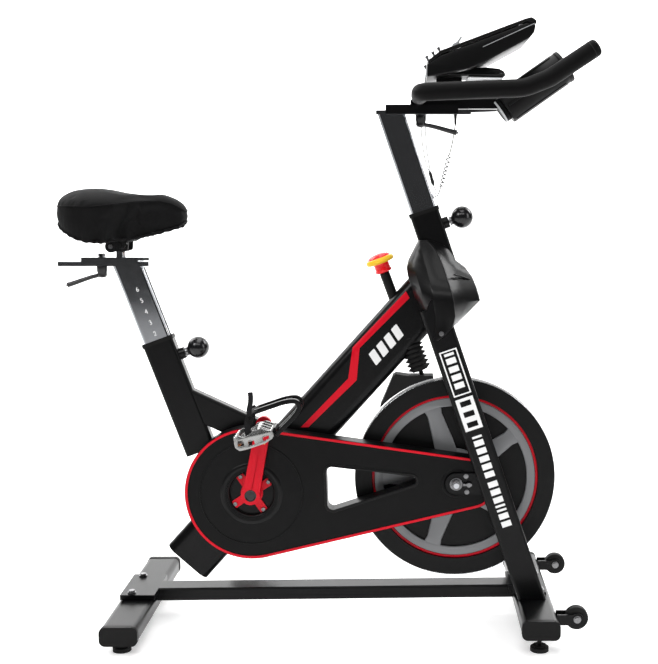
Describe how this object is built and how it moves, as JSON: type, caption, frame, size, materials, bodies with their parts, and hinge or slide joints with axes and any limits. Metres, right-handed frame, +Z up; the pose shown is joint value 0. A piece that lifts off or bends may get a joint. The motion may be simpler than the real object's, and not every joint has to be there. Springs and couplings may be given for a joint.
{
  "type": "indoor spin bike",
  "caption": "Stationary exercise bike with a belt-driven flywheel, press-down friction brake, sliding saddle and handlebar, toe-cage pedals, tablet rest and transport wheels.",
  "frame": {"origin": "on the ground under the middle of the bike's length and width", "axes": "+X forward, +Y to the rider's left, +Z up"},
  "size_m": [1.1735, 0.5, 1.3602],
  "materials": {
    "frame_black": "semi-gloss black powder coat",
    "shell_black": "satin black ABS moulding",
    "cap_black": "fine-grained black plastic",
    "chrome": "bright chrome plate",
    "steel": "zinc-plated or bright steel",
    "wheel_rim": "turned steel tread with black painted sides",
    "wheel_silver": "silver paint with a red ring",
    "red_paint": "red gloss paint",
    "alloy": "cast aluminium, slightly rough",
    "foam": "black foam, fine cells",
    "rubber": "black rubber",
    "knob_red": "red plastic with a yellow band",
    "knob_black": "polished black plastic",
    "cover_cloth": "black stretch knit cover",
    "strap": "black nylon",
    "wire": "black cable sheath",
    "key": "light grey key"
  },
  "bodies": {
    "frame": {"down_tube": "frame_black", "seat_tube": "frame_black", "seat_brace": "frame_black", "base_tube": "frame_black", "head_tube": "frame_black", "fork": "frame_black", "front_stabiliser": "frame_black", "rear_stabiliser": "frame_black", "stabiliser_caps": "cap_black", "frame_bolts": "steel", "head_shroud": "shell_black", "belt_cover": "shell_black", "belt_cover_back": "shell_black", "crank_bearings": "steel", "drive_belt": "rubber", "flywheel_axle": "steel", "axle_hardware": "steel", "axle_plates": "frame_black", "seat_collar": "cap_black", "bar_collar": "cap_black", "brake_bellows": "rubber"},
    "wheel": {"flywheel": "wheel_rim", "flywheel_trims": "wheel_silver", "flywheel_hub": "steel", "flywheel_pulley": "steel"},
    "crank": {"crank_spindle": "steel", "crank_arm_right": "red_paint", "crank_arm_left": "red_paint", "crank_spider": "red_paint", "drive_pulley": "shell_black", "pedal_axles": "steel"},
    "pedal_right": {"pedal_right": "alloy", "toe_cage_right": "strap"},
    "pedal_left": {"pedal_left": "alloy", "toe_cage_left": "strap"},
    "brake": {"brake_rod": "frame_black", "brake_shoe": "shell_black"},
    "brake_top": {"brake_knob": "knob_red"},
    "seat_mast": {"seat_post": "chrome"},
    "seat_slider": {"seat_carriage": "chrome"},
    "seat": {"saddle_clamp": "cap_black", "saddle": "cover_cloth"},
    "seat_lever": {"seat_lever": "knob_black"},
    "seat_pin": {"seat_pin": "knob_black"},
    "bar_mast": {"bar_post": "chrome"},
    "bars": {"handlebar": "frame_black", "bar_grips": "foam", "bottle_holder": "shell_black", "console": "shell_black", "sensor_wires": "wire", "curly_cord": "wire"},
    "bar_lever": {"bar_lever": "knob_black"},
    "bar_pin": {"bar_pin": "knob_black"},
    "button": {"console_button": "key"},
    "foot_front_right": {"foot_front_right": "rubber"},
    "foot_front_left": {"foot_front_left": "rubber"},
    "foot_rear_right": {"foot_rear_right": "rubber"},
    "foot_rear_left": {"foot_rear_left": "rubber"},
    "roller_right": {"roller_right": "rubber"},
    "roller_left": {"roller_left": "rubber"}
  },
  "joints": [
    {"name": "flywheel_spin", "type": "hinge", "parent": "frame", "child": "wheel", "pos_m": [0.307, 0, 0.332], "axis": [0, 1, 0], "continuous": true},
    {"name": "crank_spin", "type": "hinge", "parent": "frame", "child": "crank", "pos_m": [-0.151, 0, 0.308], "axis": [0, 1, 0], "continuous": true},
    {"name": "pedal_right_spin", "type": "hinge", "parent": "crank", "child": "pedal_right", "pos_m": [-0.11952, 0, 0.46997], "axis": [0, 1, 0], "continuous": true},
    {"name": "pedal_left_spin", "type": "hinge", "parent": "crank", "child": "pedal_left", "pos_m": [-0.18248, 0, 0.14603], "axis": [0, 1, 0], "continuous": true},
    {"name": "brake_press", "type": "slide", "parent": "frame", "child": "brake", "axis": [0.3437, 0, -0.9391], "range_m": [0, 0.0055], "stiffness_N_per_m": 4000, "springref_m": -0.004, "deforming": ["brake_bellows"]},
    {"name": "brake_twist", "type": "hinge", "parent": "brake", "child": "brake_top", "pos_m": [0.136, 0, 0.828], "axis": [-0.3437, 0, 0.9391], "range_deg": [-180, 180]},
    {"name": "seat_height", "type": "slide", "parent": "frame", "child": "seat_mast", "axis": [-0.3469, 0, 0.9379], "range_m": [-0.13, 0.026]},
    {"name": "seat_reach", "type": "slide", "parent": "seat_mast", "child": "seat_slider", "axis": [1, 0, 0], "range_m": [-0.05, 0.01]},
    {"name": "saddle_tilt", "type": "hinge", "parent": "seat_slider", "child": "seat", "pos_m": [-0.446, 0, 0.862], "axis": [0, 1, 0], "range_deg": [-10, 10]},
    {"name": "seat_lever_turn", "type": "hinge", "parent": "seat_slider", "child": "seat_lever", "pos_m": [-0.489, 0, 0.8], "axis": [0, 0, 1], "range_deg": [-60, 60]},
    {"name": "seat_pin_pull", "type": "slide", "parent": "frame", "child": "seat_pin", "axis": [0.9379, 0, 0.3469], "range_m": [0, 0.01], "stiffness_N_per_m": 1500, "springref_m": -0.004},
    {"name": "bar_height", "type": "slide", "parent": "frame", "child": "bar_mast", "axis": [-0.3206, 0, 0.9472], "range_m": [0, 0.104]},
    {"name": "bar_reach", "type": "slide", "parent": "bar_mast", "child": "bars", "axis": [1, 0, 0], "range_m": [-0.01, 0.08], "deforming": ["sensor_wires", "curly_cord"]},
    {"name": "bar_lever_turn", "type": "hinge", "parent": "bars", "child": "bar_lever", "pos_m": [0.228, 0, 1.13], "axis": [0, 0, 1], "range_deg": [-70, 0]},
    {"name": "bar_pin_pull", "type": "slide", "parent": "frame", "child": "bar_pin", "axis": [0.9472, 0, 0.3206], "range_m": [0, 0.01], "stiffness_N_per_m": 1500, "springref_m": -0.004},
    {"name": "button_press", "type": "slide", "parent": "bars", "child": "button", "axis": [0.3746, 0, -0.9272], "range_m": [0, 0.0015], "stiffness_N_per_m": 1200, "springref_m": -0.0006},
    {"name": "foot_front_right_turn", "type": "hinge", "parent": "frame", "child": "foot_front_right", "pos_m": [0.482, -0.215, 0], "axis": [0, 0, 1], "range_deg": [-180, 180]},
    {"name": "foot_front_left_turn", "type": "hinge", "parent": "frame", "child": "foot_front_left", "pos_m": [0.482, 0.215, 0], "axis": [0, 0, 1], "range_deg": [-180, 180]},
    {"name": "foot_rear_right_turn", "type": "hinge", "parent": "frame", "child": "foot_rear_right", "pos_m": [-0.416, -0.215, 0], "axis": [0, 0, 1], "range_deg": [-180, 180]},
    {"name": "foot_rear_left_turn", "type": "hinge", "parent": "frame", "child": "foot_rear_left", "pos_m": [-0.416, 0.215, 0], "axis": [0, 0, 1], "range_deg": [-180, 180]},
    {"name": "roller_right_spin", "type": "hinge", "parent": "frame", "child": "roller_right", "pos_m": [0.564, -0.19, 0.065], "axis": [0, 1, 0], "continuous": true},
    {"name": "roller_left_spin", "type": "hinge", "parent": "frame", "child": "roller_left", "pos_m": [0.564, 0.19, 0.065], "axis": [0, 1, 0], "continuous": true}
  ],
  "couplings": [
    {"joint": "crank_spin", "follows": "flywheel_spin", "ratio": 0.25}
  ]
}
